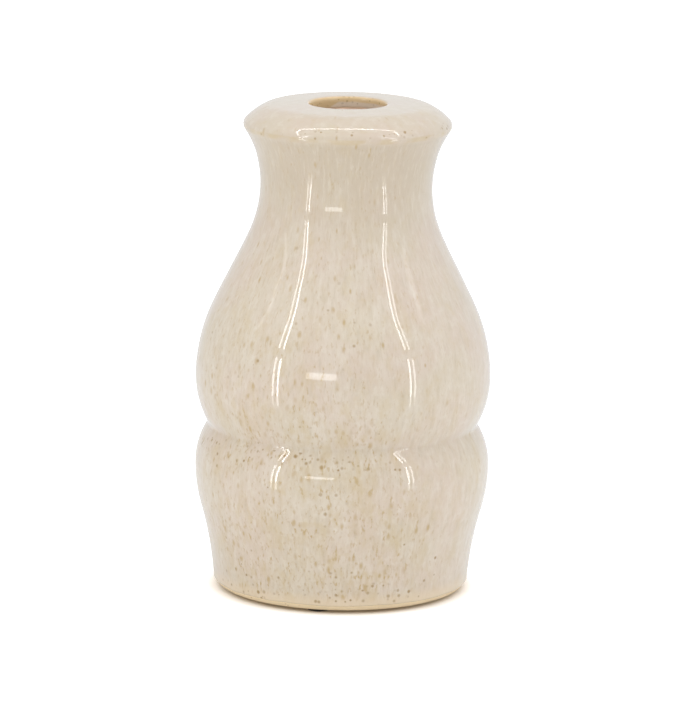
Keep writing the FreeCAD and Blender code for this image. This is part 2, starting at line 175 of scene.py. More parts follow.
SWELL = 1
HOLLOW = -1
WALL = ["sweep", "cup_lower", "cup_upper", "groove", "belly_lower", "belly_upper", "shoulder",
        "neck_lower", "flare"]
UNDERSIDE = ["well_corner", "well_wall", "ring_inner", "ring", "foot_edge"]
OUTER_TOP = ["rim", "bevel", "crown", "flat", "mouth"]
GLAZED_TOP = ["rim", "swell", "crown", "flat", "thin_mouth"]
INNER_TOP = ["hollow", "ceiling", "lip"]


def meeting(first, first_radius, second, second_radius, side=1):
    """Where two circles meet, to the right of the way from first to second, or left with side -1."""
    across, up = second[0] - first[0], second[1] - first[1]
    span = math.hypot(across, up)
    along = (first_radius ** 2 - second_radius ** 2 + span ** 2) / (2 * span)
    aside = side * math.sqrt(first_radius ** 2 - along ** 2)
    return (first[0] + (along * across + aside * up) / span, first[1] + (along * up - aside * across) / span)


class Section:
    """The vase's half section, with heights above its foot."""

    def __init__(self, s):
        self.s = s
        self.clay_outside = s.glaze
        self.clay_inside = s.glaze + s.clay
        self.glazed_inside = 2 * s.glaze + s.clay
        inset = s.belly_radius - s.neck_radius
        neck = s.height - s.neck_drop
        room = (inset ** 2 + (neck - s.belly_height) ** 2) / (2 * inset)
        flare = s.rim_overhang / 2 - s.rim_edge + (s.neck_drop - s.rim_drop) ** 2 / (2 * s.rim_overhang)
        rim = (s.neck_radius + s.rim_overhang - s.rim_edge, s.height - s.rim_drop)
        crown = (rim[0] - s.bevel_run, s.height - s.crown_fall - s.crown)
        cup = (s.cup_radius - s.cup_lower, s.cup_height)
        cup_top = (s.cup_radius - s.cup_upper, s.cup_height)
        belly = (s.belly_radius - s.belly_lower, s.belly_height)
        foot = (s.foot_flat, s.foot_edge)
        ring_edge = s.foot_flat - s.ring_width
        self.well_radius = ring_edge - s.ring_inner
        self.ceiling = s.height - s.glaze - s.crown_clay
        self.lip_height = self.ceiling + s.lip
        big, small = s.belly_share * room, s.neck_share * room
        groove = meeting(cup_top, s.cup_upper + s.groove, belly, s.belly_lower + s.groove)
        sweep = meeting(foot, s.sweep + s.glaze + s.foot_edge, cup, s.sweep + s.cup_lower)
        swell = meeting(rim, s.bevel_swell - s.rim_edge, crown, s.bevel_swell - s.crown, -1)
        self.rounds = {
            "well_corner": (HOLLOW, s.well_corner, s.glaze,
                            (self.well_radius - s.well_corner, s.well_depth - s.well_corner)),
            "ring_inner": (SWELL, s.ring_inner, s.glaze, (ring_edge, s.ring_inner)),
            "foot_edge": (SWELL, s.foot_edge, s.glaze, foot),
            "sweep": (HOLLOW, s.sweep, 0, sweep),
            "cup_lower": (SWELL, s.cup_lower, 0, cup),
            "cup_upper": (SWELL, s.cup_upper, 0, cup_top),
            "groove": (HOLLOW, s.groove, 0, groove),
            "belly_lower": (SWELL, s.belly_lower, 0, belly),
            "belly_upper": (SWELL, big, 0, (s.belly_radius - big, s.belly_height)),
            "neck_lower": (HOLLOW, small, 0, (s.neck_radius + small, neck)),
            "flare": (HOLLOW, flare, 0, (s.neck_radius + flare, neck)),
            "rim": (SWELL, s.rim_edge, 0, rim),
            "swell": (SWELL, s.bevel_swell, 0, swell),
            "crown": (SWELL, s.crown, 0, crown),
            "mouth": (SWELL, s.mouth_edge, 0, (s.mouth_radius + s.mouth_edge, s.height - s.mouth_edge)),
            "thin_mouth": (SWELL, s.mouth_edge - s.mouth_thin, 0,
                           (s.mouth_radius + s.mouth_edge, s.height - s.mouth_edge + s.mouth_thin)),
            "lip": (HOLLOW, s.lip, self.clay_inside, (s.mouth_radius + s.glaze + s.lip, self.lip_height)),
        }
        for name, beside, radius, high in (
            ("corner", "sweep", s.corner, s.floor + s.corner),
            ("hollow", "flare", s.hollow, self.ceiling - s.hollow),
        ):
            near = self.rounds[beside][3]
            reach = radius + abs(self.radius(beside, self.clay_inside))
            across = math.sqrt(reach ** 2 - (high - near[1]) ** 2)
            self.rounds[name] = (SWELL, radius, self.clay_inside, (near[0] - across, high))

    def radius(self, name, depth):
        """Radius of a round stretch at this depth, negative on a hollow."""
        bulge, radius, own_depth, _ = self.rounds[name]
        return bulge * radius - (depth - own_depth)

    def touch(self, name, after, depth):
        """Where two round stretches run into each other at this depth."""
        first, second = self.radius(name, depth), self.radius(after, depth)
        centres = zip(self.rounds[name][3], self.rounds[after][3])
        return tuple((b * first - a * second) / (first - second) for a, b in centres)

    def straight(self, name, after, depth):
        """Both ends of the line that touches two round stretches at this depth."""
        first, second = self.radius(name, depth), self.radius(after, depth)
        start, end = self.rounds[name][3], self.rounds[after][3]
        across, up = end[0] - start[0], end[1] - start[1]
        facing = math.atan2(up, across) - math.acos((first - second) / math.hypot(across, up))
        reach = (math.cos(facing), math.sin(facing))
        return [(c[0] + r * reach[0], c[1] + r * reach[1]) for c, r in ((start, first), (end, second))]

    def surface(self, depth, names, last_point):
        """The stretches of one surface going up, each as its end and, on a round one, its centre."""
        joints = {}
        for name, after in zip(names, names[1:]):
            if name in self.rounds and after in self.rounds:
                joints[name, after] = self.touch(name, after, depth)
        for before, name, after in zip(names, names[1:], names[2:]):
            if name not in self.rounds:
                joints[before, name], joints[name, after] = self.straight(before, after, depth)
        path = []
        for name, after in zip(names, names[1:] + [None]):
            end = joints[name, after] if after else last_point
            bulge, _, _, centre = self.rounds.get(name, (0, 0, 0, None))
            path.append((end, centre, bulge))
        return path

    def on_sweep(self, depth, height):
        """The point of the foot's sweep at this depth and height."""
        centre = self.rounds["sweep"][3]
        reach = self.radius("sweep", depth)
        return (centre[0] - math.sqrt(reach ** 2 - (height - centre[1]) ** 2), height)


def backwards(start, path):
    """The same stretches, drawn from their end to their start."""
    ends = [start] + [stretch[0] for stretch in path]
    turned = [(end, centre, -bulge) for end, (_, centre, bulge) in zip(ends, path)]
    return ends[-1], turned[::-1]


class Pen:
    """Draws a half section as a wire, from one vertex on, and turns it into a piece."""

    def __init__(self, start):
        self.mesh = bmesh.new()
        self.along = self.mesh.verts.layers.float.new("along")
        self.tip = self.mesh.verts.new((start[0], 0, start[1] + FOOT))
        self.first = self.tip

    def line(self, end, pace):
        way = Vector((end[0], 0, end[1] + FOOT)) - self.tip.co
        steps = max(1, math.ceil(way.length / pace))
        for _ in range(steps):
            self.tip = bmesh.ops.extrude_vert_indiv(self.mesh, verts=[self.tip])["verts"][0]
            bmesh.ops.translate(self.mesh, verts=[self.tip], vec=way / steps)

    def arc(self, end, centre, bulge, pace, least=3):
        hub = Vector((centre[0], 0, centre[1] + FOOT))
        start, stop = self.tip.co - hub, Vector((end[0], 0, end[1] + FOOT)) - hub
        angle = math.atan2(stop.z, stop.x) - math.atan2(start.z, start.x)
        angle = bulge * ((bulge * angle) % math.tau)
        steps = max(least, math.ceil(abs(angle) * start.length / pace))
        drawn = bmesh.ops.spin(self.mesh, geom=[self.tip], cent=hub, axis=(0, -1, 0), angle=angle,
                               steps=steps)
        self.tip = next(part for part in drawn["geom_last"] if isinstance(part, bmesh.types.BMVert))

    def draw(self, path, pace):
        for end, centre, bulge in path:
            if centre is None:
                self.line(end, pace)
            else:
                self.arc(end, centre, bulge, pace)

    def soften(self, low, high, rounds):
        """Even out the wire's bends between two heights, where arcs of unlike size meet."""
        between = [v for v in self.mesh.verts if low < v.co.z - FOOT < high]
        for _ in range(rounds):
            bmesh.ops.smooth_vert(self.mesh, verts=between, factor=0.5, use_axis_x=True, use_axis_z=True)

    def measure(self):
        """Give each vertex its distance along the wire."""
        here, before, run = self.first, None, 0.0
        while here is not None:
            here[self.along] = run
            ahead = [e.other_vert(here) for e in here.link_edges if e.other_vert(here) is not before]
            after = ahead[0] if ahead else None
            if after is not None:
                run += (after.co - here.co).length
            here, before = after, here

    def turn(self, steps):
        """Spin the wire round the axis, close seams and poles, and face it outwards."""
        self.measure()
        wire = self.mesh.verts[:] + self.mesh.edges[:]
        bmesh.ops.spin(self.mesh, geom=wire, cent=(0, 0, 0), axis=(0, 0, 1), angle=math.tau, steps=steps,
                       use_merge=True)
        bmesh.ops.remove_doubles(self.mesh, verts=self.mesh.verts, dist=SAME_SPOT)
        bmesh.ops.recalc_face_normals(self.mesh, faces=self.mesh.faces)
        for face in self.mesh.faces:
            face.smooth = True


def ease(value, low, high):
    """0 below low, 1 above high, and a smooth step between them."""
    t = min(1, max(0, (value - low) / (high - low)))
    return t * t * (3 - 2 * t)


# Shares of the height over which the oval and the lean set in, and the oval's turn in radians
OVAL_SETS_IN = (0.05, 0.4)
LEAN_SETS_IN = (0.66, 0.98)
OVAL_TURN = 5


def settle(mesh, hand, shape):
    """Lean the crown and take the wall slightly out of round, alike for every piece."""
    for vert in mesh.verts:
        around = math.atan2(vert.co.y, vert.co.x)
        up = (vert.co.z - FOOT) / shape.height
        out = hand.oval * ease(up, *OVAL_SETS_IN) * math.sin(2 * around + OVAL_TURN * up)
        reach = math.hypot(vert.co.x, vert.co.y)
        grow = 1 + out / shape.belly_radius if reach else 1
        vert.co.x = vert.co.x * grow + hand.crown_shift * ease(up, *LEAN_SETS_IN)
        vert.co.y = vert.co.y * grow


def ripple(mesh, hand, verts):
    """Slow waves of a coat that ran a little before it set."""
    mesh.normal_update()
    moves = [(v, v.normal * (hand.ripple * noise.noise(v.co / hand.ripple_size))) for v in verts]
    for vert, move in moves:
        vert.co += move


def add_object(name, data):
    """Put a new object with this data in the scene."""
    thing = bpy.data.objects.new(name, data)
    bpy.context.scene.collection.objects.link(thing)
    return thing


def add_mesh(mesh, name, material):
    data = bpy.data.meshes.new(name)
    mesh.to_mesh(data)
    mesh.free()
    data.materials.append(material)
    return add_object(name, data)


def place(mesh, name, material, node, slot):
    """Make the mesh a named piece that stands for its CAD node."""
    piece = add_mesh(mesh, name, material)
    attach(piece, "root")
    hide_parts(node)


# Materials


def arithmetic(operation, swapped=False):
    """A method that adds the node for this operation on a wire and a wire or a number."""

    def method(wire, other):
        first, second = (other, wire) if swapped else (wire, other)
        vectors = wire.is_vector or isinstance(other, Wire) and other.is_vector
        kind = "ShaderNodeVectorMath" if vectors else "ShaderNodeMath"
        return wire.shader.node(kind, {"operation": operation}, {0: first, 1: second})

    return method


class Wire:
    """A value or a vector on its way through a shader; what is done to it adds the nodes."""

    def __init__(self, shader, socket):
        self.shader = shader
        self.socket = socket
        self.is_vector = socket.type == "VECTOR"

    __add__ = __radd__ = arithmetic("ADD")
    __sub__ = arithmetic("SUBTRACT")
    __rsub__ = arithmetic("SUBTRACT", swapped=True)
    __mul__ = __rmul__ = arithmetic("MULTIPLY")
    __truediv__ = arithmetic("DIVIDE")
    __pow__ = arithmetic("POWER")
    at_least = arithmetic("MAXIMUM")

    def ease(self, low, high):
        """A smooth step from 0 where the value is low to 1 where it is high."""
        return self.shader.node("ShaderNodeMapRange", {"interpolation_type": "SMOOTHSTEP"},
                                {0: self, 1: low, 2: high})

    def drawn(self, across, down):
        """The place in units of this width across and this length up and down."""
        return self * (1 / across, 1 / across, 1 / down)

    def noise(self, scale=1.0, detail=2.0, roughness=0.5):
        """Clouds between 0 and 1, about 1 / scale wide."""
        return self.shader.node("ShaderNodeTexNoise", None, {
            "Vector": self, "Scale": scale, "Detail": detail, "Roughness": roughness})

    def split(self, kind="ShaderNodeSeparateXYZ"):
        """The three parts of a vector, or of a colour."""
        parts = self.shader.node(kind, None, {0: self})
        return [Wire(self.shader, out) for out in parts.socket.node.outputs]

    def cells(self):
        """Distance to the nearest of points that lie one to a unit, and three random shares of its own."""
        distance = self.shader.node("ShaderNodeTexVoronoi", None, {"Vector": self, "Scale": 1.0})
        own = Wire(self.shader, distance.socket.node.outputs["Color"])
        return distance, own.split("ShaderNodeSeparateColor")


class Shader:
    """One material's nodes."""

    def __init__(self, name, kind=bpy.data.materials):
        self.owner = kind.new(name)
        self.owner.use_nodes = True
        self.tree = self.owner.node_tree
        self.tree.nodes.clear()

    def node(self, kind, settings=None, sockets=None, output=0):
        """Add a node: first its settings, then the values or links of its sockets."""
        node = self.tree.nodes.new(kind)
        for key, value in (settings or {}).items():
            setattr(node, key, value)
        for key, value in (sockets or {}).items():
            if isinstance(value, Wire):
                self.tree.links.new(value.socket, node.inputs[key])
            elif getattr(node.inputs[key], "type", "") == "RGBA" and len(value) == 3:
                node.inputs[key].default_value = (*value, 1)
            else:
                node.inputs[key].default_value = value
        return Wire(self, node.outputs[output])

    def mix(self, factor, first, second):
        return self.node("ShaderNodeMix", {"data_type": "RGBA"}, {0: factor, 6: first, 7: second}, 2)

    def millimetres(self):
        """The place on the piece, in millimetres from the frame's origin."""
        return self.node("ShaderNodeTexCoord", output=3) * (1 / MM, 1 / MM, 1 / MM)

    def rays(self):
        """1 for a ray from the camera, for one off a glossy surface, and for one through glass."""
        camera = self.node("ShaderNodeLightPath")
        outputs = camera.socket.node.outputs
        return camera, Wire(self, outputs["Is Glossy Ray"]), Wire(self, outputs["Is Transmission Ray"])

    def layers(self, base, coats):
        """Colours laid over a base in turn, each through its mask and at its strength."""
        for mask, strength, tone in coats:
            base = self.mix(mask * strength, base, tuple(tone))
        return base

    def finish(self, base, roughness, relief, depth, strength, sockets):
        """The surface itself, with a relief this many millimetres deep that shows at this strength."""
        bump = self.node("ShaderNodeBump", None, {
            "Strength": strength, "Distance": depth * MM, "Height": relief})
        return self.close(self.node("ShaderNodeBsdfPrincipled", None, {
            "Base Color": base, "Roughness": roughness, "Normal": bump, **sockets}))

    def close(self, surface, kind="ShaderNodeOutputMaterial"):
        output = self.tree.nodes.new(kind)
        self.tree.links.new(surface.socket, output.inputs["Surface"])
        return self.owner


class Meridians:
    """A place on the wall: where it lies, which way it faces, and a vector in millimetres in which
    a run keeps to its meridian over belly, neck and rim."""

    GIRTH = 45.0
    CORE = 0.4

    def __init__(self, shader):
        self.shader = shader
        self.place = shader.millimetres()
        flat = self.place * (1.0, 1.0, 0.0)
        self.height = self.place.split()[2]
        self.off_axis = shader.node("ShaderNodeVectorMath", {"operation": "LENGTH"}, {0: flat}, 1)
        self.facing = shader.node("ShaderNodeVectorMath", {"operation": "NORMALIZE"}, {0: flat})
        along = shader.node("ShaderNodeAttribute", {"attribute_name": "along"}, None, 2) * (1 / MM)
        lifted = shader.node("ShaderNodeCombineXYZ", None, {2: along})
        self.vector = self.facing * (self.GIRTH, self.GIRTH, 0.0) + lifted

    def towards(self, degrees):
        """1 where the wall faces that way, -1 on the far side."""
        way = (math.cos(math.radians(degrees)), math.sin(math.radians(degrees)), 0.0)
        return self.shader.node("ShaderNodeVectorMath", {"operation": "DOT_PRODUCT"},
                                {0: self.facing, 1: way}, 1)

    def drawn(self, across, down):
        """The place in units of this width round the wall and this length along it."""
        return self.vector.drawn(across, down)

    def streaks(self, mark, detail=4.0):
        """Clouds drawn out along the wall to this width and length."""
        return self.drawn(*mark).noise(detail=detail, roughness=0.6)

    def near(self, height, reach):
        """1 round a height, and 0 from this reach off."""
        away = self.shader.node("ShaderNodeMath", {"operation": "ABSOLUTE"}, {0: self.height - height})
        return 1 - away.ease(reach * self.CORE, reach)


class Marks:
    """Widths round the wall and lengths along it, in millimetres, of the marks in the glaze."""

    DRIFT = (7.0, 20.0)
    BREAK = (7.0, 3.0)
    POOL = (3.4, 7.0)
    FLECK = (2.1, 4.2)
    RUN = (1.3, 6.0)
    PIT = (1.2, 2.6)
    GRAIN = (1.0, 2.6)
    THREAD = (0.5, 2.9)
    DOT = (1.9, 1.9)
    LINING_RUN = (2.0, 16.0)
    LINING_FLECK = (2.2, 3.6)


class Levels:
    """Heights above the table, in millimetres. A pair runs from no effect to the full effect, and
    a ring is its height and its reach."""

    UPRIGHT = (172.5, 169.0)
    SPECKLED = (140.0, 20.0)
    # Painted shade: from here the ash colour greys the neck up to the underside of the rim
    NECK_SHADE = (126.0, 162.0)
    FOOT_DOTS = (24.0, 3.0)
    FOOT_TAN = (9.0, 3.5)
    MOUTH_DOTS = (175.5, 177.5)
    MOUTH_BEND = (179.95, 179.6)
    RUST = (177.9, 178.7)
    FLUSH = (156.0, 170.0)
    LEDGE_RING = (57.0, 4.0)
    CREASE_RING = (171.6, 1.3)
    RIM_RING = (173.4, 2.4)


# Directions in degrees, where 0 is to the right and -90 towards the camera
FRONT = -115.0
LEFT_SIDE = 160.0

# Millimetres: the mouth's wall from outside it to inside it, and how far the rust comes down on the left
MOUTH_WALL = (15.1, 14.5)
RUST_DIP = 3.6

CLEAR_COAT = {"IOR": 1.5, "Specular IOR Level": 0.2, "Coat Weight": 1.0, "Coat Roughness": 0.025,
              "Coat IOR": 1.5}
FELT_SHEEN = {"Sheen Weight": 0.3, "Sheen Roughness": 0.6}


def flecks(where, size, density, softness):
    """A mask of scattered flecks: size in cells, and density the share of the cells that has one.
    Each fleck has a size and a strength of its own."""
    distance, own = where.cells()
    present = (density - own[0]).ease(0.0, 0.04)
    reach = size * (0.45 + own[1] * 0.9)
    body = 1 - (distance / reach).ease(1 - softness, 1.0)
    strength = 0.45 + own[2] * 0.55
    return body * present * strength


def oatmeal_glaze(colours):
    """A glossy stoneware glaze: runs down the wall, iron flecks that gather low on the front, dots
    on the edges, and thin tan glaze above the foot, under the rim and in the mouth. The neck greys
    towards the rim as painted shade, and the pale wall of the mouth is partly painted light."""
    shader = Shader("oatmeal_glaze")
    wall = Meridians(shader)

    cloud = wall.place.noise(0.045, 3.0)
    mottle = wall.place.noise(0.3, 4.0, 0.6)
    spread = wall.place.noise(0.028, 1.0)
    drift = wall.streaks(Marks.DRIFT, 3.0)
    runs = wall.streaks(Marks.RUN)
    threads = wall.streaks(Marks.THREAD, 3.0)
    pools = wall.streaks(Marks.POOL)
    grain = wall.streaks(Marks.GRAIN)
    breaks = wall.drawn(*Marks.BREAK).noise()

    upright = wall.height.ease(*Levels.UPRIGHT)
    low = wall.height.ease(*Levels.SPECKLED)
    front = (wall.towards(FRONT) + (spread - 0.5)).ease(0.3, 0.97)
    busy = (0.15 + front * 0.85) * (0.35 + low * 0.65)

    # Soft flecks that ran, smaller ones, and round dots at the foot, the ledge, the rim and the mouth
    clumps = wall.place.noise(0.16).ease(0.3, 0.6)
    ran = grain.ease(0.575 - busy * 0.055, 0.70)
    soft = ran * (0.2 + busy * 0.8) * (0.3 + clumps * 0.7) * upright
    fine = flecks(wall.drawn(*Marks.FLECK), 0.42, busy * 0.5, 0.85)
    inwards = wall.off_axis.ease(*MOUTH_WALL)
    low_dots = wall.height.ease(*Levels.FOOT_DOTS) * 0.5 + wall.near(*Levels.LEDGE_RING) * 0.6
    in_mouth = wall.height.ease(*Levels.MOUTH_DOTS) * inwards
    dots = flecks(wall.place.drawn(*Marks.DOT), 0.42,
                  busy * 0.07 + low_dots * (0.04 + front * 0.96) + wall.near(*Levels.RIM_RING) * 0.45
                  + in_mouth * 0.5, 0.7)

    # The thinnest glaze: a broken line under the rim, the bend of the mouth, and rust on its left.
    #     The bend's pale colour is partly thin glaze over pale clay and partly painted light in the mouth.
    crease = wall.near(*Levels.CREASE_RING) * breaks.ease(0.34, 0.62)
    bend = inwards * wall.height.ease(*Levels.MOUTH_BEND)
    left = wall.towards(LEFT_SIDE).ease(0.5, 0.95)
    rust = bend * (wall.height + left * RUST_DIP + breaks * 0.8).ease(*Levels.RUST)

    base = shader.layers(tuple(colours.oatmeal), (
        (cloud.ease(0.38, 0.66), 1.0, colours.blush),
        (low, 0.11, colours.straw),
        (1 - upright, 0.2, colours.ash_and_shade),
        (mottle.ease(0.5, 0.7), 0.35, colours.cream),
        (mottle.ease(0.48, 0.3), 0.25, colours.straw),
        (drift.ease(0.45, 0.75) * upright, 0.35, colours.cream),
        (drift.ease(0.5, 0.3) * (0.15 + low * 0.3) * upright, 1.0, colours.straw),
        # Painted shade: the ash colour darkens the neck below the rim
        (wall.height.ease(*Levels.NECK_SHADE) * upright, 0.72, colours.ash_and_shade),
        (runs.ease(0.5, 0.72) * upright, 0.35, colours.cream),
        (runs.ease(0.48, 0.28) * upright, 0.4, colours.ash_and_shade),
        (threads.ease(0.46, 0.28) * upright, 0.35, colours.ash_and_shade),
        (threads.ease(0.56, 0.76) * upright, 0.3, colours.cream),
        (pools.ease(0.5, 0.68) * (0.05 + busy * 0.5) * upright, 1.0, colours.straw),
        (soft, 0.8, colours.fleck),
        (fine, 0.72, colours.fleck),
        (crease, 0.55, colours.straw),
        (wall.height.ease(*Levels.FOOT_TAN), 0.75, colours.tan),
        # Partly painted light: the mouth's wall is laid pale, beyond what its thin glaze gives
        (bend, 1.0, colours.thin),
        (rust, 0.85, colours.rust),
        (dots, 0.85, colours.iron),
    ))

    swim = wall.place.noise(0.35)
    pits = wall.drawn(*Marks.PIT).noise()
    relief = swim * 0.8 + pits * 0.12 - soft * 0.08
    return shader.finish(base, 0.3 + runs.ease(0.3, 0.7) * 0.08, relief, 0.1, 0.35, CLEAR_COAT)


def lining_glaze(colours):
    """The same glaze poured inside, thinner and warmer, flushed below the mouth. Its runs hang
    straight down on a wall and become a mottle on a floor."""
    shader = Shader("lining_glaze")
    place = shader.millimetres()
    height = place.split()[2]
    cloud = place.noise(0.06, 3.0)
    runs = place.drawn(*Marks.LINING_RUN).noise(detail=3.0, roughness=0.6)
    specks = flecks(place.drawn(*Marks.LINING_FLECK), 0.32, 0.4, 0.6)
    base = shader.layers(tuple(colours.lining), (
        (cloud.ease(0.35, 0.65), 0.5, colours.oatmeal),
        (runs.ease(0.45, 0.75), 0.25, colours.straw),
        (height.ease(*Levels.FLUSH), 0.9, colours.flush),
        (specks, 0.85, colours.fleck),
    ))
    return shader.finish(base, 0.2 + runs * 0.08, place.noise(0.4), 0.1, 0.3, {"IOR": 1.5})


def bare_clay(colours):
    """Fired clay: matt, warm, with dark grains and the fine rings of a sponge on the wheel."""
    shader = Shader("bare_clay")
    place = shader.millimetres()
    tone = place.noise(0.12, 4.0)
    grain = place.noise(2.6, 3.0, 0.65)
    grog = flecks(place * (0.8, 0.8, 0.8), 0.3, 0.35, 0.5)
    rings = (place * (0.1, 0.1, 3.0)).noise()
    base = shader.layers(tuple(colours.clay), (
        (tone.ease(0.35, 0.7), 0.25, colours.straw),
        (grog, 0.6, colours.clay_grog),
    ))
    relief = grain * 0.7 + rings * 0.3 - grog * 0.5
    return shader.finish(base, 0.72 + grain * 0.18, relief, 0.1, 0.6, {"IOR": 1.45})


def dark_felt(colours):
    """Pressed wool felt with loose fibres."""
    shader = Shader("dark_felt")
    place = shader.millimetres()
    wander = place.noise(1.6, 4.0, 0.7)
    fibres = shader.node("ShaderNodeTexNoise", None, {
        "Vector": place, "Scale": 5.0, "Detail": 5.0, "Roughness": 0.75, "Distortion": 2.5})
    base = shader.layers(tuple(colours.felt), (
        (fibres.ease(0.45, 0.75), 1.0, colours.felt_fuzz),
        (wander.ease(0.55, 0.8), 0.3, colours.felt_fuzz),
    ))
    return shader.finish(base, 0.95, fibres + wander * 0.4, 0.2, 0.9, FELT_SHEEN)


# Pieces

# Waves of the glaze's lower edge and of the patch's edge; how far in the patch draws, and up to
# which share of its radius it stays as it is
WANDER_SIZE = 9 * MM
PATCH_WAVE = 12 * MM
PATCH_SHRINK = 0.02
PATCH_CALM = 0.6

# The felt: its soft edge as a share of its thickness, and the size and depth of its fuzz
FELT_SIDES = 72
FELT_SOFT_EDGE = 0.22
FELT_CAP_INSET = 0.15
FUZZ = 0.06 * MM
FUZZ_SIZE = 0.4 * MM
FUZZ_DIP = 0.7


class VaseOperator:
    """What the vase's operators share: each makes its pieces from the scene's settings."""

    bl_options = {"REGISTER", "UNDO"}

    def execute(self, context):
        scene = context.scene
        self.make(scene.vase_shape, scene.vase_hand, scene.vase_colours, Section(scene.vase_shape))
        return {"FINISHED"}


class VASE_OT_clay_wall(VaseOperator, bpy.types.Operator):
    """Turn the fired clay: foot ring, recess, wall, crown and the hollow inside"""

    bl_idname = "vase.clay_wall"
    bl_label = "Clay wall"

    def make(self, shape, hand, colours, section):
        mouth = shape.mouth_radius + shape.glaze
        lip_end = (mouth, section.lip_height)
        well_edge = (section.rounds["well_corner"][3][0], shape.well_depth)
        mouth_end = (mouth, section.rounds["mouth"][3][1])
        outside = section.surface(section.clay_outside, UNDERSIDE + WALL + OUTER_TOP, mouth_end)
        corner = (section.rounds["corner"][3][0], shape.floor)
        inside = section.surface(section.clay_inside, ["corner"] + WALL + INNER_TOP, lip_end)
        pen = Pen((0, shape.well_depth))
        pen.line(well_edge, hand.hidden_pace)
        pen.draw(outside[:len(UNDERSIDE) + 1], hand.pace)
        pen.draw(outside[len(UNDERSIDE) + 1:], hand.hidden_pace)
        pen.line(lip_end, hand.hidden_pace)
        _, path = backwards(corner, inside)
        pen.draw(path, hand.hidden_pace)
        pen.line((0, shape.floor), hand.hidden_pace)
        pen.turn(hand.hidden_turns)
        settle(pen.mesh, hand, shape)
        place(pen.mesh, "clay_wall", bare_clay(colours), "stoneware_body", "stoneware")


class VASE_OT_outside_glaze(VaseOperator, bpy.types.Operator):
    """Coat the outside from its rolled lower edge over the rim into the mouth"""

    bl_idname = "vase.outside_glaze"
    bl_label = "Outside glaze"

    def make(self, shape, hand, colours, section):
        roll = section.on_sweep(section.clay_outside, shape.bare_band + shape.glaze)
        foot = section.on_sweep(section.clay_outside, shape.bare_band)
        shoulder = section.on_sweep(0, roll[1])
        mouth = shape.mouth_radius + shape.mouth_thin
        mouth_top = (mouth, section.rounds["thin_mouth"][3][1])
        lower_end = (mouth, section.lip_height)
        outside = section.surface(0, WALL + GLAZED_TOP, mouth_top)
        clay_top = (shape.mouth_radius + shape.glaze, section.rounds["mouth"][3][1])
        under = section.surface(section.clay_outside, WALL + OUTER_TOP, clay_top)
        pen = Pen(foot)
        pen.arc(shoulder, roll, SWELL, hand.pace, least=5)
        pen.draw(outside, hand.pace)
        pen.soften(hand.soft_from, hand.soft_to, hand.soft_rounds)
        pen.line(lower_end, hand.pace)
        seen = len(pen.mesh.verts)
        pen.line((clay_top[0], lower_end[1]), hand.pace)
        pen.line(clay_top, hand.hidden_pace)
        _, path = backwards(foot, under)
        pen.draw(path, hand.hidden_pace)
        pen.turn(hand.turns)
        length_seen = max(v[pen.along] for v in list(pen.mesh.verts)[:seen])
        coat = [v for v in pen.mesh.verts if v[pen.along] < length_seen]
        ripple(pen.mesh, hand, coat)
        for vert in pen.mesh.verts:
            up = vert.co.z - FOOT
            fade = 1 - ease(up, shape.bare_band + shape.glaze, shape.bare_band + hand.edge_reach)
            if fade:
                spot = Vector((vert.co.x, vert.co.y, 0)) / WANDER_SIZE
                vert.co.z += hand.edge_wander * fade * noise.noise(spot)
        settle(pen.mesh, hand, shape)
        place(pen.mesh, "outside_glaze", oatmeal_glaze(colours), "outer_glaze", "glaze")


class VASE_OT_lining(VaseOperator, bpy.types.Operator):
    """Coat the hollow from its floor to the lower end of the mouth"""

    bl_idname = "vase.lining"
    bl_label = "Lining glaze"

    def make(self, shape, hand, colours, section):
        mouth, glaze = shape.mouth_radius, shape.glaze
        ends = [(mouth + glaze, section.lip_height), (mouth, section.lip_height)]
        middle = section.rounds["corner"][3][0]
        names = ["corner"] + WALL + INNER_TOP
        clay = section.surface(section.clay_inside, names, ends[0])
        glazed = section.surface(section.glazed_inside, names, ends[1])
        pen = Pen((0, shape.floor + glaze))
        pen.line((middle, shape.floor + glaze), 2 * hand.pace)
        pen.draw(glazed, 2 * hand.pace)
        pen.line(ends[0], hand.pace)
        _, path = backwards((middle, shape.floor), clay)
        pen.draw(path, hand.hidden_pace)
        pen.line((0, shape.floor), hand.hidden_pace)
        pen.turn(hand.hidden_turns)
        settle(pen.mesh, hand, shape)
        place(pen.mesh, "lining", lining_glaze(colours), "lining_glaze", "glaze")


class VASE_OT_underfoot_glaze(VaseOperator, bpy.types.Operator):
    """Lay the patch of glaze on the ceiling of the recess under the foot"""

    bl_idname = "vase.underfoot_glaze"
    bl_label = "Underfoot glaze"

    def make(self, shape, hand, colours, section):
        outer = section.well_radius - shape.well_corner - shape.well_margin
        inner = outer - shape.glaze
        top, bottom = shape.well_depth, shape.well_depth - shape.glaze
        pen = Pen((0, bottom))
        pen.line((inner, bottom), hand.pace)
        pen.arc((outer, top), (inner, top), SWELL, hand.pace, least=6)
        pen.line((0, top), hand.hidden_pace)
        pen.turn(hand.hidden_turns)
        for vert in pen.mesh.verts:
            reach = math.hypot(vert.co.x, vert.co.y)
            spot = Vector((vert.co.x, vert.co.y, 0)) / PATCH_WAVE
            grow = 1 - ease(reach, PATCH_CALM * outer, outer) * PATCH_SHRINK * (1 + noise.noise(spot))
            vert.co.x *= grow
            vert.co.y *= grow
        place(pen.mesh, "underfoot_patch", lining_glaze(colours), "foot_well_glaze", "glaze")


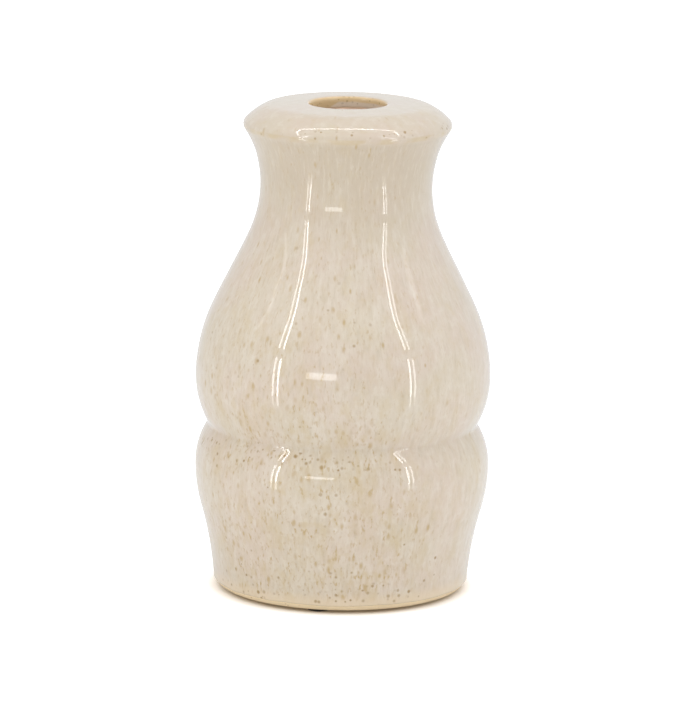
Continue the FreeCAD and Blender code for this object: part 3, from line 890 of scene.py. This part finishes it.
class VASE_OT_felt_pads(VaseOperator, bpy.types.Operator):
    """Cut the three felt discs under the foot ring, with soft fuzzy edges"""

    bl_idname = "vase.felt_pads"
    bl_label = "Felt pads"

    def make(self, shape, hand, colours, section):
        felt = dark_felt(colours)
        for side in ("front", "right", "left"):
            node = f"felt_pad_{side}"
            low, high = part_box(node)
            middle, size = (low + high) / 2, high - low
            mesh = bmesh.new()
            bmesh.ops.create_circle(mesh, cap_ends=True, segments=FELT_SIDES, radius=size.x / 2)
            bmesh.ops.translate(mesh, verts=mesh.verts, vec=(middle.x, middle.y, low.z))
            bottom = mesh.faces[:]
            sides = bmesh.ops.extrude_face_region(mesh, geom=bottom)["geom"]
            top = [part for part in sides if isinstance(part, bmesh.types.BMVert)]
            bmesh.ops.translate(mesh, verts=top, vec=(0, 0, size.z))
            rims = [e for e in mesh.edges if abs(e.verts[0].co.z - e.verts[1].co.z) < size.z / 2]
            bmesh.ops.bevel(mesh, geom=rims, affect="EDGES", offset=FELT_SOFT_EDGE * size.z, segments=3,
                            profile=0.5, material=-1)
            caps = [f for f in mesh.faces if len(f.verts) > 4]
            bmesh.ops.inset_region(mesh, faces=caps, thickness=FELT_CAP_INSET * size.x)
            bmesh.ops.triangulate(mesh, faces=[f for f in mesh.faces if len(f.verts) > 4])
            bmesh.ops.recalc_face_normals(mesh, faces=mesh.faces)
            mesh.normal_update()
            for vert in mesh.verts:
                reach = math.hypot(vert.co.x - middle.x, vert.co.y - middle.y)
                edge = ease(reach, 0.4 * size.x, 0.5 * size.x)
                roughly = noise.noise(vert.co / FUZZ_SIZE) - FUZZ_DIP
                flat = Vector((vert.normal.x, vert.normal.y, 0))
                vert.co += flat * (edge * FUZZ * roughly)
            for face in mesh.faces:
                face.smooth = True
            place(mesh, f"felt_disc_{side}", felt, node, "felt")


# The table, the lights and the camera


class StageSettings(bpy.types.PropertyGroup):
    """The photograph's viewpoint and its strip lights."""

    distance: length("Distance", 2003.05, "From the vase's axis to the camera")
    camera_height: length("Camera height", 508.38, "Above the table")
    camera_side: length("Camera side", 0.61, "To the right of the vase's axis")
    lens: FloatProperty(name="Lens", default=284.0, description="Focal length for a 36 mm high frame")
    pitch: FloatProperty(name="Pitch", default=math.radians(11.889), subtype="ANGLE",
                         description="How far the camera looks down")
    roll: FloatProperty(name="Roll", default=math.radians(0.810), subtype="ANGLE",
                        description="How far the picture is turned clockwise")
    strip_power: FloatProperty(name="Strip light", default=14.0, description="Brightness of the side strips")
    row_power: FloatProperty(name="Top row", default=9.0, description="Brightness of the row overhead")
    table: colour("Table", (0.80, 0.80, 0.80), "Colour of the table")
    room: FloatProperty(name="Room light", default=0.685, description="Brightness of the pale room")


# The lens is given for a picture this high; the table's size, and its gap under the felt
FRAME_HEIGHT = 36.0
TABLE_REACH = 6.0
TABLE_GAP = 0.01 * MM

# What each side of the room adds to its light or takes from it, as a share of it
ROOM_BEHIND, ROOM_ABOVE, ROOM_LEFT, ROOM_RIGHT = -0.3, 0.45, -0.35, 0.12
RIGHT_TINT = (0.965, 0.99, 1.05)

# How bright the room looks in the glaze: everywhere, behind the camera, and beyond the vase
MIRRORED, MIRRORED_BEHIND, MIRRORED_AHEAD = 0.70, -0.2, 0.13

# The table's own glow: seen by the camera, in the glaze, and by the light that falls on the vase
GLOW, GLOW_MIRRORED, GLOW_BOUNCED = 0.77, 0.25, 0.16
GLOW_IN_SHADE = 0.03

# The shadow at the foot: how far out it is looked for, how it fades, and its warm colours
SHADE_REACH = 6 * MM
SHADE_FALLOFF = 1.2
SHADE_WARMTH = (1.0, 0.88, 0.72)
SHADE_GLOW = (1.0, 0.74, 0.46)

# Thin rows of lights beside the vase: where each stands, where it leans to, and its brightness
SIDE_ROWS = (
    ("left_inner", (-0.204, -0.190), (-0.204, -0.190), 1.0),
    ("left_outer", (-0.215, -0.175), (-0.215, -0.175), 0.6),
    ("right_inner", (0.209, -0.184), (0.186, -0.207), 0.7),
    ("right_outer", (0.219, -0.171), (0.197, -0.194), 0.45),
)
SIDE_WIDTH = 0.007

# Each row is lit in three parts: from one height to another, at a share of its brightness
SIDE_PARTS = (("tail", 0.004, 0.040, 0.4), ("low", 0.042, 0.152, 1.0), ("high", 0.180, 0.500, 1.0))
LEAN_FROM, LEAN_TO = 0.152, 0.500

# The row overhead, whose ends come down towards the camera
TOP_ROW = (
    (-0.345, -0.200, 0.450), (-0.235, 0.055, 0.600), (-0.100, 0.014, 0.600), (0.0, 0.005, 0.600),
    (0.090, 0.012, 0.600), (0.225, 0.050, 0.600), (0.345, -0.180, 0.450),
)
TOP_WIDTH = 0.013
TOP_AIM = 0.15

# Other lamps: start, end, width, brightness, and the height of the axis that they face
LAMPS = (
    ("left_spot", (-0.443, -0.082, 0.270), (-0.430, -0.136, 0.390), 0.02, 1.5, 0.12),
    ("right_spot", (0.470, -0.120, 0.350), (0.470, -0.120, 0.410), 0.05, 1.1, 0.12),
    ("front_bar", (-0.204, -0.394, 0.135), (-0.040, -0.442, 0.135), 0.028, 5.0, 0.135),
)


def backdrop_world(room):
    """A pale room that the camera and glass see as plain white. Its light is weaker behind the
    camera and on the left, stronger above, and a little cooler on the right."""
    shader = Shader("pale_room", bpy.data.worlds)
    camera, glossy, glass = shader.rays()
    clear = camera.at_least(glass)
    across, deep, up = shader.node("ShaderNodeTexCoord").split()
    behind = (deep * -1.0).ease(0.3, 1.0)
    ahead = deep.ease(0.7, 1.0)
    above = up.ease(0.3, 1.0)
    left = (across * -1.0).ease(0.0, 1.0)
    right = across.ease(0.0, 1.0)
    lighting = room * (1 + behind * ROOM_BEHIND + above * ROOM_ABOVE + left * ROOM_LEFT + right * ROOM_RIGHT)
    mirrored = MIRRORED + behind * MIRRORED_BEHIND + ahead * MIRRORED_AHEAD
    light = lighting * (1 - glossy) + glossy * mirrored
    strength = light * (1 - clear) + clear
    tint = shader.mix(right * (1 - clear), (1.0, 1.0, 1.0), RIGHT_TINT)
    surface = shader.node("ShaderNodeBackground", None, {"Color": tint, "Strength": strength})
    return shader.close(surface, "ShaderNodeOutputWorld")


def table_top(table):
    """A white table that washes out around the vase and keeps its shadow."""
    shader = Shader("white_table")
    camera, glossy, glass = shader.rays()
    seen = camera.at_least(glossy.at_least(glass) * GLOW_MIRRORED).at_least(GLOW_BOUNCED)
    shade = shader.node("ShaderNodeAmbientOcclusion", {"samples": 16}, {"Distance": SHADE_REACH}, 1)
    dusk = tuple(part * warmth for part, warmth in zip(table, SHADE_WARMTH))
    lit = shade.ease(0.0, 0.3)
    surface = shader.node("ShaderNodeBsdfDiffuse", None, {"Color": shader.mix(lit, dusk, table)})
    glow = shader.node("ShaderNodeEmission", None, {
        "Color": shader.mix(shade, SHADE_GLOW, (1.0, 1.0, 1.0)),
        "Strength": seen * (GLOW_IN_SHADE + (shade ** SHADE_FALLOFF) * GLOW)})
    return shader.close(shader.node("ShaderNodeAddShader", None, {0: surface, 1: glow}))


def lay_table(stage):
    mesh = bmesh.new()
    bmesh.ops.create_grid(mesh, x_segments=8, y_segments=8, size=TABLE_REACH)
    bmesh.ops.translate(mesh, verts=mesh.verts, vec=(0, 0, -TABLE_GAP))
    table = add_mesh(mesh, "table", table_top(tuple(stage.table)))


def aim(name, data, spot, right, up, back):
    """Put a lamp or a camera in the scene, with its three axes these ways."""
    holder = add_object(name, data)
    holder.matrix_world = Matrix.Translation(spot) @ Matrix((right, up, back)).transposed().to_4x4()
    return holder


def strip(name, start, end, width, brightness, height):
    """A long rectangular lamp from start to end that faces this height of the vase's axis."""
    start, end = Vector(start), Vector(end)
    middle = (start + end) / 2
    lamp = bpy.data.lights.new(name, "AREA")
    lamp.shape = "RECTANGLE"
    lamp.size = width
    lamp.size_y = (end - start).length
    lamp.energy = brightness * math.pi * lamp.size * lamp.size_y
    along = (end - start).normalized()
    back = middle - Vector((0, 0, height))
    back = (back - along * back.dot(along)).normalized()
    aim(name, lamp, middle, along.cross(back), along, back)


def hang_lights(stage):
    for name, foot, head, brightness in SIDE_ROWS:
        for part, low, high, portion in SIDE_PARTS:
            ends = []
            for height in (low, high):
                lean = max(height - LEAN_FROM, 0) / (LEAN_TO - LEAN_FROM)
                ends.append((*Vector(foot).lerp(Vector(head), lean), height))
            strip(f"{name}_{part}", *ends, SIDE_WIDTH, stage.strip_power * brightness * portion,
                  (low + high) / 2)
    for number, (start, end) in enumerate(zip(TOP_ROW, TOP_ROW[1:])):
        strip(f"top_row_{number}", start, end, TOP_WIDTH, stage.row_power, TOP_AIM)
    for lamp in LAMPS:
        strip(*lamp)


def set_camera(scene, stage):
    camera = bpy.data.cameras.new("viewpoint")
    camera.sensor_fit = "VERTICAL"
    camera.sensor_height = FRAME_HEIGHT
    camera.lens = stage.lens
    camera.clip_start = 0.05
    camera.clip_end = 50.0
    ahead = Vector((0, math.cos(stage.pitch), -math.sin(stage.pitch)))
    level = Vector((1, 0, 0))
    up = Vector((0, math.sin(stage.pitch), math.cos(stage.pitch)))
    right = math.cos(stage.roll) * level + math.sin(stage.roll) * up
    top = -math.sin(stage.roll) * level + math.cos(stage.roll) * up
    spot = (stage.camera_side, -stage.distance, stage.camera_height)
    scene.camera = aim("viewpoint", camera, spot, right, top, -ahead)


class VASE_OT_stage(bpy.types.Operator):
    """Lay the white table, hang the strip lights and set up the camera"""

    bl_idname = "vase.stage"
    bl_label = "Table, lights and camera"

    def execute(self, context):
        scene = context.scene
        stage = scene.vase_stage
        lay_table(stage)
        hang_lights(stage)
        set_camera(scene, stage)
        scene.world = backdrop_world(stage.room)
        scene.view_settings.view_transform = "Standard"
        return {"FINISHED"}


class VASE_PT_panel(bpy.types.Panel):
    """The vase's pieces, in the order in which they are made"""

    bl_idname = "VASE_PT_panel"
    bl_label = "Bottle vase"
    bl_space_type = "VIEW_3D"
    bl_region_type = "UI"
    bl_category = "Vase"

    def draw(self, context):
        layout = self.layout
        for maker in MAKERS:
            layout.operator(maker.bl_idname)
        for group in SETTINGS:
            box = layout.box()
            for name in group.bl_rna.properties.keys():
                if name not in ("rna_type", "name"):
                    box.prop(getattr(context.scene, SETTINGS[group]), name)


SETTINGS = {
    VaseShape: "vase_shape", VaseHand: "vase_hand", VaseColours: "vase_colours", StageSettings: "vase_stage",
}
MAKERS = (
    VASE_OT_clay_wall, VASE_OT_outside_glaze, VASE_OT_lining, VASE_OT_underfoot_glaze, VASE_OT_felt_pads,
    VASE_OT_stage,
)


def register():
    for group, name in SETTINGS.items():
        bpy.utils.register_class(group)
        setattr(bpy.types.Scene, name, PointerProperty(type=group))
    for kind in (*MAKERS, VASE_PT_panel):
        bpy.utils.register_class(kind)


def unregister():
    for kind in reversed((*MAKERS, VASE_PT_panel)):
        bpy.utils.unregister_class(kind)
    for group, name in SETTINGS.items():
        delattr(bpy.types.Scene, name)
        bpy.utils.unregister_class(group)


def main():
    register()
    bpy.ops.vase.clay_wall()
    bpy.ops.vase.outside_glaze()
    bpy.ops.vase.lining()
    bpy.ops.vase.underfoot_glaze()
    bpy.ops.vase.felt_pads()
    bpy.ops.vase.stage()


if __name__ == "__main__":
    main()
